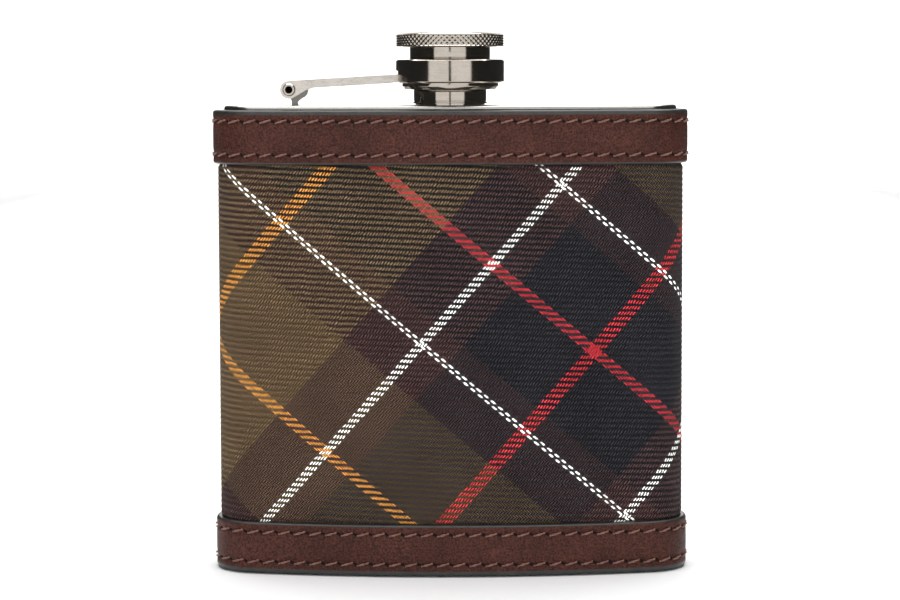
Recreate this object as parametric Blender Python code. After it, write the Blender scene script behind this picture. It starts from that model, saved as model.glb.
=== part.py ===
"""Steel hip flask with a leather-trimmed tartan sleeve and a captive screw cap.

The flask stands on its base at z = 0. +Z is up, +X runs along its width and -Y is its rounded front.
The cap turns in a collar, and the collar hangs on an arm that swings on a riveted hinge.
"""

import math

import bmesh
import bpy
from mathutils import Vector

MM = 0.001

# Driving dimensions of the sleeve, seen from above
WIDTH = 95.0 * MM
FRONT_DEPTH = 13.0 * MM
BACK_DEPTH = 9.6 * MM
FRONT_RADIUS = 184.0 * MM
BACK_RADIUS = 324.0 * MM
FRONT_CORNER = 9.5 * MM
BACK_CORNER = 10.0 * MM

# Depth of each layer below the leather's outer face
FABRIC_OUT = 0.95 * MM
TUCK_OUT = 1.35 * MM
FABRIC_IN = 1.7 * MM
LEATHER_IN = 1.7 * MM
LAP_IN = 1.05 * MM
LINING_OUT = 2.0 * MM
LINING_IN = 2.4 * MM
PLATE_RIM = 2.25 * MM
SHELL_OUT = 2.7 * MM
SHELL_WALL = 0.6 * MM

# Heights from the base up
GAP = 0.3 * MM
PLATE_THICKNESS = 0.8 * MM
PLATE_TOP = 93.1 * MM
BAND_FOOT = 0.35 * MM
BOTTOM_BAND_TOP = 10.4 * MM
TOP_BAND_FOOT = 81.5 * MM
TOP_BAND_TOP = 92.2 * MM
LAP = 3.1 * MM
STITCH_TO_OUTER_EDGE = 2.2 * MM
STITCH_TO_LAP_EDGE = 1.9 * MM
THREAD_RADIUS = 0.2 * MM
GROOVE_DEPTH = 0.55 * MM
GROOVE_HALF = THREAD_RADIUS + GAP

# Neck and cap: radii, and heights above the top plate
NECK_RADIUS = 7.25 * MM
NECK_FLANGE = 7.35 * MM
NECK_TAIL = 6.9 * MM
NECK_ROOT = 6.4 * MM
NECK_CREST = 6.75 * MM
NECK_BORE = 5.7 * MM
NECK_HEIGHT = 8.2 * MM
PITCH = 1.0 * MM
CAP_BORE = 7.55 * MM
CAP_CREST = 7.2 * MM
CAP_THREAD_LOW = 5.2 * MM
CAP_THREAD_TOP = 8.0 * MM
CAP_THREAD_FADE = 0.4 * MM
SLEEVE_RADIUS = 8.0 * MM
DISC_RADIUS = 10.75 * MM
DISC_FOOT = 11.4 * MM
DISC_TOP = 14.2 * MM
DISC_EASE = 0.35 * MM
DOME_TOP = 15.5 * MM
DOME_SHOULDER = 7.6 * MM
DOME_SHOULDER_RISE = 0.7 * MM
DOME_BROW = 4.0 * MM
DOME_BROW_DROP = 0.25 * MM
SLEEVE_FOOT = 4.4 * MM
RING_FOOT = 3.1 * MM
RING_BORE = 7.6 * MM
RING_RADIUS = 8.55 * MM
CAP_RISE = 2.0 * MM
SEAL_THICKNESS = 1.0 * MM
COLLAR_RADIUS = 10.8 * MM
COLLAR_FOOT = 4.4 * MM
COLLAR_TOP = 9.0 * MM
NOTCH_TOP = 6.8 * MM
NOTCH_FACE = 10.3 * MM
LIP_FOOT = 3.1 * MM
LIP_RADIUS = 9.65 * MM
LIP_FOOT_RADIUS = 9.2 * MM
LIP_TAPER = 0.6 * MM
KNURL_TEETH = 25
KNURL_DEPTH = 0.3 * MM

# Arm: its two pivots in x and in height above the top plate
HINGE_X = -31.9 * MM
HINGE_HEIGHT = 3.1 * MM
TIP_X = -9.6 * MM
TIP_HEIGHT = 5.4 * MM
ARM_HALF_WIDTH = 2.5 * MM
EAR_THICKNESS = 0.7 * MM
EAR_RADIUS = 1.8 * MM
ARM_TIP_HALF_WIDTH = 1.5 * MM
ARM_TIP_RADIUS = 0.75 * MM
RIVET_RADIUS = 0.85 * MM
RIVET_BORE = 0.6 * MM
RIVET_FLANGE = 1.25 * MM
PIN_GAP = 0.1 * MM
BARREL_RADIUS = 1.5 * MM
BRACKET_HALF_WIDTH = ARM_HALF_WIDTH - EAR_THICKNESS - GAP
PIN_RADIUS = 0.45 * MM
PIN_HALF_LENGTH = 3.0 * MM
PIN_END_GAP = 0.2 * MM

# Places that follow from the above: the middle of the footprint is at x = y = 0
HEEL_X = WIDTH / 2 - BACK_CORNER
HEEL_Y = BACK_DEPTH + BACK_RADIUS - math.sqrt((BACK_RADIUS + BACK_CORNER) ** 2 - HEEL_X**2)
MIDDLE_SHIFT = (HEEL_Y + BACK_CORNER - FRONT_DEPTH) / 2
NECK_Y = (BACK_DEPTH - FRONT_DEPTH) / 2 - MIDDLE_SHIFT
NECK = Vector((0, NECK_Y, PLATE_TOP))
HINGE = Vector((HINGE_X, NECK_Y, PLATE_TOP + HINGE_HEIGHT))
TIP = Vector((TIP_X, NECK_Y, PLATE_TOP + TIP_HEIGHT))
ARM_ANGLE = math.atan2(TIP.z - HINGE.z, TIP.x - HINGE.x)
ARM_LENGTH = math.hypot(TIP.z - HINGE.z, TIP.x - HINGE.x)


def clear_scene():
    for item in list(bpy.data.objects):
        bpy.data.objects.remove(item, do_unlink=True)


def make_material(name, colour, roughness, metallic=0.0):
    made = bpy.data.materials.new(name)
    made.use_nodes = True
    shader = made.node_tree.nodes["Principled BSDF"]
    shader.inputs["Base Color"].default_value = (*colour, 1)
    shader.inputs["Roughness"].default_value = roughness
    shader.inputs["Metallic"].default_value = metallic
    return made


def add_object(name, mesh_builder, material, place=(0, 0, 0), smooth=35):
    """Turns a bmesh into a named object whose origin is at place."""
    bmesh.ops.recalc_face_normals(mesh_builder, faces=mesh_builder.faces)
    mesh = bpy.data.meshes.new(name)
    mesh_builder.to_mesh(mesh)
    mesh_builder.free()
    mesh.materials.append(material)
    mesh.shade_smooth()
    mesh.set_sharp_from_angle(angle=math.radians(smooth))
    made = bpy.data.objects.new(name, mesh)
    bpy.context.collection.objects.link(made)
    made.location = place
    return made


def add_axis(name, place, parent=None):
    """An empty on a joint's axis, which the moving pieces hang on."""
    made = bpy.data.objects.new(name, None)
    bpy.context.collection.objects.link(made)
    made.location = place if parent is None else Vector(place) - parent.matrix_world.translation
    made.parent = parent
    bpy.context.view_layer.update()
    return made


def hang(piece, axis):
    """Parents a piece to an axis without moving it."""
    bpy.context.view_layer.update()
    piece.parent = axis
    piece.matrix_parent_inverse = axis.matrix_world.inverted()
    return piece


def cut(piece, cutter):
    """Takes the cutter's shape out of the piece."""
    cutter.hide_render = True
    cutter.display_type = "WIRE"
    modifier = piece.modifiers.new("cut", "BOOLEAN")
    modifier.operation = "DIFFERENCE"
    modifier.object = cutter
    return piece


# Shapes ---------------------------------------------------------------------------------------


def arc(centre, radius, start, end, steps):
    """Points on an arc in degrees, both ends included."""
    points = []
    for step in range(steps + 1):
        angle = math.radians(start + (end - start) * step / steps)
        points.append((centre[0] + radius * math.cos(angle), centre[1] + radius * math.sin(angle)))
    return points


def outline(inset):
    """The flask's section from above, counter-clockwise: rounded front, four round corners, hollow back."""
    front_centre = FRONT_RADIUS - FRONT_DEPTH
    corner_x = WIDTH / 2 - FRONT_CORNER
    front_y = front_centre - math.sqrt((FRONT_RADIUS - FRONT_CORNER) ** 2 - corner_x**2)
    front_half = math.degrees(math.atan2(corner_x, front_centre - front_y))
    back_centre = BACK_DEPTH + BACK_RADIUS
    back_half = math.degrees(math.atan2(HEEL_X, back_centre - HEEL_Y))
    right = [
        *arc((0, front_centre), FRONT_RADIUS - inset, -90, -90 + front_half, 6)[:-1],
        *arc((corner_x, front_y), FRONT_CORNER - inset, -90 + front_half, 0, 7),
        *arc((HEEL_X, HEEL_Y), BACK_CORNER - inset, 0, 90 + back_half, 7),
        *arc((0, back_centre), BACK_RADIUS + inset, -90 + back_half, -90, 5)[1:],
    ]
    left = [(-x, y) for x, y in reversed(right[1:-1])]
    return [(x, y - MIDDLE_SHIFT) for x, y in right + left]


def join_loops(builder, loops, closed):
    """Walls between loops of vertices; closed joins the last loop to the first."""
    count = len(loops)
    for step in range(count if closed else count - 1):
        one, two = loops[step], loops[(step + 1) % count]
        for side in range(len(one)):
            after = (side + 1) % len(one)
            builder.faces.new((one[side], one[after], two[after], two[side]))


def band(profile):
    """Sweeps a closed profile of (inset, z) points around the flask."""
    builder = bmesh.new()
    loops = []
    for inset, z in profile:
        loops.append([builder.verts.new((x, y, z)) for x, y in outline(inset)])
    join_loops(builder, loops, closed=True)
    return builder


def slab(profile):
    """A plate across the flask, from a profile of (inset, z) points read from its foot to its top."""
    builder = bmesh.new()
    loops = []
    for inset, z in profile:
        loops.append([builder.verts.new((x, y, z)) for x, y in outline(inset)])
    join_loops(builder, loops, closed=False)
    builder.faces.new(list(reversed(loops[0])))
    builder.faces.new(loops[-1])
    return builder


def turned(profile, segments, relief=None, closed=True):
    """Turns a profile of (radius, z) points about Z. Relief adds to the radius of each marked point.

    An open profile gets a flat face across each of its ends.
    """
    builder = bmesh.new()
    loops = []
    for radius, z, *mark in profile:
        loop = []
        for step in range(segments):
            angle = 2 * math.pi * step / segments
            reach = radius + (relief(step, angle, z) if mark else 0)
            loop.append(builder.verts.new((reach * math.cos(angle), reach * math.sin(angle), z)))
        loops.append(loop)
    join_loops(builder, loops, closed)
    if not closed:
        builder.faces.new(list(reversed(loops[0])))
        builder.faces.new(loops[-1])
    return builder


def along_y(points, low, high):
    """A flat outline of (x, z) points, pulled out along Y from low to high."""
    builder = bmesh.new()
    near = [builder.verts.new((x, low, z)) for x, z in points]
    far = [builder.verts.new((x, high, z)) for x, z in points]
    join_loops(builder, [near, far], closed=False)
    builder.faces.new(list(reversed(near)))
    builder.faces.new(far)
    return builder


def rod_along_y(radius, half_length, segments):
    """A round bar along Y about the origin."""
    points = arc((0, 0), radius, 0, 360 * (segments - 1) / segments, segments - 1)
    return along_y(points, -half_length, half_length)


def block(low, high):
    """A box between two corners."""
    points = [(low[0], low[2]), (high[0], low[2]), (high[0], high[2]), (low[0], high[2])]
    return along_y(points, low[1], high[1])


# Steel body -----------------------------------------------------------------------------------


def make_body_shell(steel):
    foot, top = PLATE_THICKNESS + GAP, PLATE_TOP - PLATE_THICKNESS - GAP
    inside = SHELL_OUT + SHELL_WALL
    profile = [(SHELL_OUT, foot), (SHELL_OUT, top), (inside, top), (inside, foot)]
    return add_object("body_shell", band(profile), steel)


def make_base_plate(steel):
    edge = 0.3 * MM
    profile = [(SHELL_OUT + edge, 0), (SHELL_OUT, edge), (SHELL_OUT, PLATE_THICKNESS)]
    return add_object("base_plate", slab(profile), steel)


def make_top_plate(steel):
    edge = 0.35 * MM
    foot = PLATE_TOP - PLATE_THICKNESS
    profile = [
        (PLATE_RIM, foot),
        (PLATE_RIM, PLATE_TOP - edge),
        (PLATE_RIM + 0.3 * edge, PLATE_TOP - 0.3 * edge),
        (PLATE_RIM + edge, PLATE_TOP),
    ]
    plate = add_object("top_plate", slab(profile), steel)
    hole = turned([(NECK_TAIL + GAP, -3 * MM), (NECK_TAIL + GAP, 3 * MM)], 48, closed=False)
    cut(plate, add_object("neck_hole", hole, steel, place=NECK))
    low, high = bracket_foot()
    reach = BRACKET_HALF_WIDTH + GAP
    slot = block((low - GAP, -reach, -6 * MM), (high + GAP, reach, -2 * MM))
    cut(plate, add_object("bracket_slot", slot, steel, place=HINGE))
    return plate


def thread_relief(step, angle, z):
    """A right-hand round thread on the neck, fading out at both ends."""
    start, end = NECK_HEIGHT - 3.1 * MM, NECK_HEIGHT - 0.5 * MM
    fade = max(0.0, min(1.0, (z - start) / (0.4 * MM), (end - z) / (0.4 * MM)))
    wave = 0.5 + 0.5 * math.cos(2 * math.pi * (z / PITCH - angle / (2 * math.pi)))
    return (NECK_CREST - NECK_ROOT) * fade * wave


def make_neck(steel):
    start = 4.6 * MM
    rows = 13
    step = (NECK_HEIGHT - 0.3 * MM - start) / rows
    threads = [(NECK_ROOT, start + step * row, "thread") for row in range(rows + 1)]
    profile = [
        (NECK_TAIL, -2.0 * MM),
        (NECK_TAIL, GAP),
        (NECK_FLANGE, GAP),
        (NECK_FLANGE, 0.65 * MM),
        (NECK_RADIUS, 0.75 * MM),
        (NECK_RADIUS, 3.9 * MM),
        (NECK_ROOT, 4.3 * MM),
        *threads,
        (NECK_ROOT - 0.3 * MM, NECK_HEIGHT),
        (NECK_BORE + 0.15 * MM, NECK_HEIGHT),
        (NECK_BORE, NECK_HEIGHT - 0.3 * MM),
        (NECK_BORE, -2.0 * MM),
    ]
    return add_object("neck", turned(profile, 32, thread_relief), steel, place=NECK)


# Sleeve ---------------------------------------------------------------------------------------


def make_lining(board):
    foot, top = 0.7 * MM, PLATE_TOP - PLATE_THICKNESS - 0.4 * MM
    profile = [(LINING_OUT, foot), (LINING_OUT, top), (LINING_IN, top), (LINING_IN, foot)]
    return add_object("sleeve_lining", band(profile), board)


def make_fabric(cloth):
    """The tartan wrap, pressed thinner where it tucks under each leather band."""
    tuck = LAP - GAP
    low, high = BOTTOM_BAND_TOP, TOP_BAND_FOOT
    profile = [
        (TUCK_OUT, low - tuck),
        (TUCK_OUT, low),
        (FABRIC_OUT, low + GAP),
        (FABRIC_OUT, high - GAP),
        (TUCK_OUT, high),
        (TUCK_OUT, high + tuck),
        (FABRIC_IN, high + tuck),
        (FABRIC_IN, low - tuck),
    ]
    return add_object("tartan_wrap", band(profile), cloth)


def groove(z, direction):
    """The outer face's profile where it dips under a row of stitches."""
    near, far = z - direction * GROOVE_HALF, z + direction * GROOVE_HALF
    return [(0, near), (GROOVE_DEPTH, near), (GROOVE_DEPTH, far), (0, far)]


def make_leather_band(name, edge, lap_edge, leather):
    """A band from its outer edge to the edge that laps over the fabric."""
    up = 1 if lap_edge > edge else -1
    round_off = 0.45 * MM * up
    lap = lap_edge - up * LAP
    profile = [
        (abs(round_off), edge),
        (0, edge + round_off),
        *groove(edge + up * STITCH_TO_OUTER_EDGE, up),
        *groove(lap_edge - up * STITCH_TO_LAP_EDGE, up),
        (0, lap_edge - round_off),
        (abs(round_off), lap_edge),
        (LAP_IN, lap_edge),
        (LAP_IN, lap),
        (LEATHER_IN, lap),
        (LEATHER_IN, edge),
    ]
    return add_object(name, band(profile), leather)


def make_thread(name, z, thread):
    """One row of stitching, as the line of thread that runs round in its groove."""
    depth = GROOVE_DEPTH - GAP - THREAD_RADIUS
    profile = arc((depth, z), THREAD_RADIUS, 0, 288, 4)
    return add_object(name, band(profile), thread)


# Hinge and arm --------------------------------------------------------------------------------


def bracket_foot():
    """Where the bracket's foot stands, in x from the hinge pin."""
    return 0.45 * MM, 1.65 * MM


def make_hinge_bracket(steel):
    """A pressed tab: a foot through the plate, a leg, and an eye round the pin with a lobe on its right."""
    low, high = bracket_foot()
    bottom = -HINGE_HEIGHT - PLATE_THICKNESS - 0.7 * MM
    lobe_centre, lobe_radius = (2.1 * MM, -0.1 * MM), 1.6 * MM
    points = [
        (low, bottom),
        (high, bottom),
        (high, -2.3 * MM),
        *arc(lobe_centre, lobe_radius, -75, 80, 8),
        *arc((0, 0), BARREL_RADIUS, 62, 275, 12),
        (low, -2.3 * MM),
    ]
    builder = along_y(points, -BRACKET_HALF_WIDTH, BRACKET_HALF_WIDTH)
    bracket = add_object("hinge_bracket", builder, steel, place=HINGE)
    hole = rod_along_y(RIVET_RADIUS + PIN_GAP, 2 * BRACKET_HALF_WIDTH, 20)
    return cut(bracket, add_object("bracket_hole", hole, steel, place=HINGE))


def make_hinge_rivet(steel, axis):
    """A hollow rivet: a tube with a rolled rim outside each ear of the arm."""
    rim = ARM_HALF_WIDTH + GAP
    end = rim + 0.35 * MM
    profile = [
        (RIVET_BORE + 0.15 * MM, -end),
        (RIVET_FLANGE - 0.15 * MM, -end),
        (RIVET_FLANGE, -rim - 0.1 * MM),
        (RIVET_FLANGE, -rim),
        (RIVET_RADIUS, -rim),
        (RIVET_RADIUS, rim),
        (RIVET_FLANGE, rim),
        (RIVET_FLANGE, rim + 0.1 * MM),
        (RIVET_FLANGE - 0.15 * MM, end),
        (RIVET_BORE + 0.15 * MM, end),
        (RIVET_BORE, rim),
        (RIVET_BORE, -rim),
    ]
    rivet = add_object("hinge_rivet", turned(profile, 20), steel, place=HINGE)
    rivet.rotation_euler.x = math.pi / 2
    return hang(rivet, axis)


def make_arm(steel, axis):
    """A bar from the hinge to the collar, split into two ears round the bracket."""
    left_low, right_low = -0.75 * MM, -0.8 * MM
    left_high, right_high = 1.5 * MM, 0.85 * MM
    run = ARM_LENGTH
    points = [
        *arc((0, 0), EAR_RADIUS, 105, 300, 12),
        (2.0 * MM, -1.05 * MM),
        (3.4 * MM, left_low + 0.35 * MM),
        (4.6 * MM, -0.1 * MM),
        (run - 3.0 * MM, right_low),
        *arc((run, 0), ARM_TIP_RADIUS, -90, 90, 8),
        (run - 3.0 * MM, right_high + 0.05 * MM),
        (1.0 * MM, left_high + 0.25 * MM),
    ]
    builder = along_y(points, -ARM_HALF_WIDTH, ARM_HALF_WIDTH)
    arm = add_object("arm", builder, steel, place=HINGE)
    arm.rotation_euler.y = -ARM_ANGLE
    fork_reach, fork_half = 4.5 * MM, BRACKET_HALF_WIDTH + GAP
    fork = block((-4 * MM, -fork_half, -4 * MM), (fork_reach, fork_half, 4 * MM))
    cuts = {
        "arm_fork": fork,
        "arm_rivet_hole": rod_along_y(RIVET_RADIUS + PIN_GAP, 4 * MM, 20),
    }
    side = taper_side()
    cuts["arm_taper_front"] = along_z(side, -4 * MM, 4 * MM)
    cuts["arm_taper_back"] = along_z([(x, -y) for x, y in reversed(side)], -4 * MM, 4 * MM)
    for name, shape in cuts.items():
        cutter = add_object(name, shape, steel, place=HINGE)
        cutter.rotation_euler.y = -ARM_ANGLE
        cut(arm, cutter)
    tip_hole = add_object("arm_tip_hole", rod_along_y(PIN_RADIUS + PIN_GAP, 4 * MM, 16), steel, place=TIP)
    cut(arm, tip_hole)
    return hang(arm, axis)


def taper_side():
    """What comes off the arm's front edge where it narrows towards the collar, in (x, y)."""
    far = ARM_LENGTH + 3 * MM
    return [
        (8 * MM, -ARM_HALF_WIDTH - MM),
        (far, -ARM_HALF_WIDTH - MM),
        (far, -ARM_TIP_HALF_WIDTH),
        (ARM_LENGTH - 4 * MM, -ARM_TIP_HALF_WIDTH),
        (8 * MM, -ARM_HALF_WIDTH - 0.01 * MM),
    ]


def along_z(points, low, high):
    """A flat outline of (x, y) points, pulled up from low to high."""
    builder = bmesh.new()
    bottom = [builder.verts.new((x, y, low)) for x, y in points]
    top = [builder.verts.new((x, y, high)) for x, y in points]
    join_loops(builder, [bottom, top], closed=False)
    builder.faces.new(list(reversed(bottom)))
    builder.faces.new(top)
    return builder


def make_collar(steel, axis):
    """The ring that carries the cap, with a notch for the arm's tip.

    Its foot is counterbored, so that the cap's retaining ring can rise inside it.
    """
    edge, bore = 0.25 * MM, SLEEVE_RADIUS + GAP
    recess = RING_RADIUS + GAP
    recess_top = SLEEVE_FOOT + CAP_RISE
    profile = [
        (LIP_FOOT_RADIUS, LIP_FOOT),
        (LIP_RADIUS, LIP_FOOT + LIP_TAPER),
        (LIP_RADIUS, COLLAR_FOOT),
        (COLLAR_RADIUS - edge, COLLAR_FOOT),
        (COLLAR_RADIUS, COLLAR_FOOT + edge),
        (COLLAR_RADIUS, COLLAR_TOP - edge),
        (COLLAR_RADIUS - edge, COLLAR_TOP),
        (bore, COLLAR_TOP),
        (bore, recess_top),
        (recess, recess_top),
        (recess, LIP_FOOT),
    ]
    collar = add_object("collar", turned(profile, 48), steel, place=NECK)
    far = COLLAR_RADIUS + 2 * MM
    notch_low, tip_half = COLLAR_FOOT - 2 * MM, ARM_TIP_HALF_WIDTH + GAP
    face = block((-far, -far, notch_low), (-NOTCH_FACE, far, NOTCH_TOP))
    slot = block((-far, -tip_half, notch_low), (-bore + 0.4 * MM, tip_half, NOTCH_TOP))
    cut(collar, add_object("collar_face", face, steel, place=NECK))
    cut(collar, add_object("collar_slot", slot, steel, place=NECK))
    hole = rod_along_y(PIN_RADIUS + PIN_GAP, PIN_HALF_LENGTH + PIN_END_GAP, 16)
    cut(collar, add_object("collar_pin_hole", hole, steel, place=TIP))
    return hang(collar, axis)


def make_collar_pin(steel, axis):
    pin = add_object("collar_pin", rod_along_y(PIN_RADIUS, PIN_HALF_LENGTH, 12), steel, place=TIP)
    return hang(pin, axis)


# Cap ------------------------------------------------------------------------------------------


def cap_relief(step, angle, z):
    """Inside, the cap's own thread; on the disc, a diamond knurl."""
    if z < DISC_FOOT:
        inside = min(z - CAP_THREAD_LOW, CAP_THREAD_TOP - z)
        fade = max(0.0, min(1.0, inside / CAP_THREAD_FADE))
        wave = 0.5 + 0.5 * math.cos(2 * math.pi * (z / PITCH - 0.5 - angle / (2 * math.pi)))
        return (CAP_CREST - CAP_BORE) * fade * wave
    row = round((z - DISC_FOOT) / knurl_step())
    return -KNURL_DEPTH * ((step + row) % 2)


def knurl_step():
    return (DISC_TOP - DISC_FOOT) / 5


def make_cap(steel, axis):
    """Knurled disc, its low dome and the threaded sleeve below, turned from one piece."""
    seal_seat = NECK_HEIGHT + GAP + SEAL_THICKNESS + GAP
    rows = 9
    step = (CAP_THREAD_TOP - CAP_THREAD_LOW) / rows
    threads = [(CAP_BORE, CAP_THREAD_LOW + step * row, "thread") for row in range(rows, -1, -1)]
    knurls = [(DISC_RADIUS, DISC_FOOT + knurl_step() * row, "knurl") for row in range(1, 5)]
    profile = [
        (0.01 * MM, seal_seat),
        (CAP_BORE, seal_seat),
        *threads,
        (CAP_BORE, SLEEVE_FOOT),
        (SLEEVE_RADIUS, SLEEVE_FOOT),
        (SLEEVE_RADIUS, DISC_FOOT),
        (DISC_RADIUS - DISC_EASE, DISC_FOOT),
        *knurls,
        (DISC_RADIUS - DISC_EASE, DISC_TOP),
        (DOME_SHOULDER, DISC_TOP + DOME_SHOULDER_RISE),
        (DOME_BROW, DOME_TOP - DOME_BROW_DROP),
        (0.01 * MM, DOME_TOP),
    ]
    builder = turned(profile, 2 * KNURL_TEETH, cap_relief, closed=False)
    cap = add_object("cap", builder, steel, place=NECK)
    return hang(cap, axis)


def make_seal(rubber, axis):
    low = NECK_HEIGHT + GAP
    radius, edge = CAP_BORE - GAP, 0.15 * MM
    profile = [
        (radius - edge, low),
        (radius, low + edge),
        (radius, low + SEAL_THICKNESS - edge),
        (radius - edge, low + SEAL_THICKNESS),
    ]
    builder = turned(profile, 32, closed=False)
    return hang(add_object("cap_seal", builder, rubber, place=NECK), axis)


def make_retaining_ring(steel, axis):
    """The ring on the foot of the cap's sleeve. It is wider than the collar's bore above it."""
    edge, top = 0.15 * MM, SLEEVE_FOOT - GAP
    profile = [
        (RING_RADIUS, RING_FOOT + edge),
        (RING_RADIUS, top - edge),
        (RING_RADIUS - edge, top),
        (RING_BORE, top),
        (RING_BORE, RING_FOOT),
        (RING_RADIUS - edge, RING_FOOT),
    ]
    return hang(add_object("retaining_ring", turned(profile, 32), steel, place=NECK), axis)


def main():
    clear_scene()
    steel = make_material("polished_steel", (0.62, 0.6, 0.57), 0.16, 1.0)
    brushed = make_material("brushed_steel", (0.6, 0.59, 0.57), 0.34, 1.0)
    leather = make_material("brown_leather", (0.075, 0.032, 0.026), 0.48)
    cloth = make_material("tartan_cloth", (0.05, 0.042, 0.032), 0.88)
    board = make_material("lining_board", (0.055, 0.04, 0.03), 0.8)
    thread = make_material("brown_thread", (0.16, 0.062, 0.045), 0.7)
    rubber = make_material("seal_rubber", (0.72, 0.7, 0.66), 0.55)

    make_body_shell(brushed)
    make_base_plate(brushed)
    make_top_plate(brushed)
    make_neck(steel)
    make_lining(board)
    make_fabric(cloth)
    make_leather_band("top_band", TOP_BAND_TOP, TOP_BAND_FOOT, leather)
    make_leather_band("bottom_band", BAND_FOOT, BOTTOM_BAND_TOP, leather)
    rows = {
        "top_band_upper_thread": TOP_BAND_TOP - STITCH_TO_OUTER_EDGE,
        "top_band_lower_thread": TOP_BAND_FOOT + STITCH_TO_LAP_EDGE,
        "bottom_band_upper_thread": BOTTOM_BAND_TOP - STITCH_TO_LAP_EDGE,
        "bottom_band_lower_thread": BAND_FOOT + STITCH_TO_OUTER_EDGE,
    }
    for name, z in rows.items():
        make_thread(name, z, thread)

    make_hinge_bracket(steel)
    arm_axis = add_axis("arm_axis", HINGE)
    collar_axis = add_axis("collar_axis", TIP, arm_axis)
    rise_axis = add_axis("rise_axis", NECK, collar_axis)
    cap_axis = add_axis("cap_axis", NECK, rise_axis)
    make_hinge_rivet(steel, arm_axis)
    make_arm(brushed, arm_axis)
    make_collar_pin(steel, arm_axis)
    make_collar(steel, collar_axis)
    make_seal(rubber, rise_axis)
    make_cap(steel, cap_axis)
    make_retaining_ring(steel, cap_axis)


main()
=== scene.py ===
"""Pocket flask: a steel flask in a tartan and leather sleeve, with a captive screw cap."""

import math

import bmesh
import bpy
import numpy as np
from mathutils import Matrix, Vector


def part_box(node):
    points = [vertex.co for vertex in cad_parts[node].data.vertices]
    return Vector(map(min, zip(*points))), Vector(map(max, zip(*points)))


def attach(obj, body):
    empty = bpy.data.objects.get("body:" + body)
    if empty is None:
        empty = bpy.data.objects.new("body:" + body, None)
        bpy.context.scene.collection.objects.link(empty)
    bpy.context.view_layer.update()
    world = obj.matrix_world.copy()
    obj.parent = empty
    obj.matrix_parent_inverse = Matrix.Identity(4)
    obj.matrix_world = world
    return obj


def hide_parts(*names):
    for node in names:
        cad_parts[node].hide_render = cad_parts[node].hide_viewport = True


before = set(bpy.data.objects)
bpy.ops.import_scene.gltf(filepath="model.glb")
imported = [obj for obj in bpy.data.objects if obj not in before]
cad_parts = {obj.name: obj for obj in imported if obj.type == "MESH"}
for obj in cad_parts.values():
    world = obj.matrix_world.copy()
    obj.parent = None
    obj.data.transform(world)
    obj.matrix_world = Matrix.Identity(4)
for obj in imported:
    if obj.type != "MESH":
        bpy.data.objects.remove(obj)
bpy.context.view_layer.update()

MM = 0.001

# The sleeve's section and layers, in mm, as the frame has them
WIDTH = 95.0
FRONT_DEPTH = 13.0
BACK_DEPTH = 9.6
FRONT_RADIUS = 184.0
BACK_RADIUS = 324.0
FRONT_CORNER = 9.5
BACK_CORNER = 10.0
FABRIC_FACE = 0.95
FABRIC_TUCK = 1.35
FABRIC_BACK = 1.7
LEATHER_BACK = 1.7
LEATHER_LAP = 1.05
PLATE_RIM = 2.25
SIDE_RADIUS = 10.0
HEEL_X = WIDTH / 2 - BACK_CORNER
HEEL_Y = BACK_DEPTH + BACK_RADIUS - math.sqrt((BACK_RADIUS + BACK_CORNER) ** 2 - HEEL_X**2)
MIDDLE_SHIFT = (HEEL_Y + BACK_CORNER - FRONT_DEPTH) / 2
NECK_Y = (BACK_DEPTH - FRONT_DEPTH) / 2 - MIDDLE_SHIFT

# Heights in mm
PLATE_TOP = 93.1
BAND_FOOT, BOTTOM_BAND_TOP = 0.35, 10.4
TOP_BAND_FOOT, TOP_BAND_TOP = 81.5, 92.2
LAP = 3.1
OUTER_ROW = 2.2
LAP_ROW = 1.9
STITCH_PITCH = 3.15


# Meshes ---------------------------------------------------------------------------------------


def stations(spacing):
    """Points round the flask's section about spacing apart, from the back seam over the front.

    Each has a centre, a radius and its sign, a direction, and u, its distance along the cloth from
    the front's middle. Any depth below the leather is then one step away from the centre. The
    straight sides use a centre SIDE_RADIUS inside them.
    """
    front_centre = FRONT_RADIUS - FRONT_DEPTH
    corner_x = WIDTH / 2 - FRONT_CORNER
    front_y = front_centre - math.sqrt((FRONT_RADIUS - FRONT_CORNER) ** 2 - corner_x**2)
    front_half = math.atan2(corner_x, front_centre - front_y)
    back_centre = BACK_DEPTH + BACK_RADIUS
    back_half = math.atan2(HEEL_X, back_centre - HEEL_Y)
    down = -math.pi / 2
    pieces = [
        ((0, front_centre), FRONT_RADIUS, 1, down, down + front_half),
        ((corner_x, front_y), FRONT_CORNER, 1, down + front_half, 0),
        (None, None, 1, front_y, HEEL_Y),
        ((HEEL_X, HEEL_Y), BACK_CORNER, 1, 0, -down + back_half),
        ((0, back_centre), BACK_RADIUS, -1, down + back_half, down),
    ]
    rows, run = [], 0.0
    for centre, radius, sign, start, end in pieces:
        if centre is None:
            length = end - start
        else:
            length = abs(end - start) * (radius - sign * FABRIC_FACE)
        steps = max(2, round(length / spacing))
        for step in range(steps):
            value = start + (end - start) * step / steps
            u = run + length * step / steps
            if centre is None:
                rows.append((WIDTH / 2 - SIDE_RADIUS, value, SIDE_RADIUS, 1, 1.0, 0.0, u))
            else:
                rows.append((*centre, radius, sign, math.cos(value), math.sin(value), u))
        run += length
    rows.append((0, back_centre, BACK_RADIUS, -1, 0.0, -1.0, run))
    right = np.array(rows)
    left = right[1:][::-1] * np.array([-1, 1, 1, 1, -1, 1, -1])
    loop = np.vstack([left, right])
    loop[:, 1] -= MIDDLE_SHIFT
    return loop


def around(loop, inset):
    """Points (x, y) at a depth below the leather's face, for one inset or one per station."""
    reach = loop[:, 2] - loop[:, 3] * inset
    return loop[:, 0] + reach * loop[:, 4], loop[:, 1] + reach * loop[:, 5]


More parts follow.
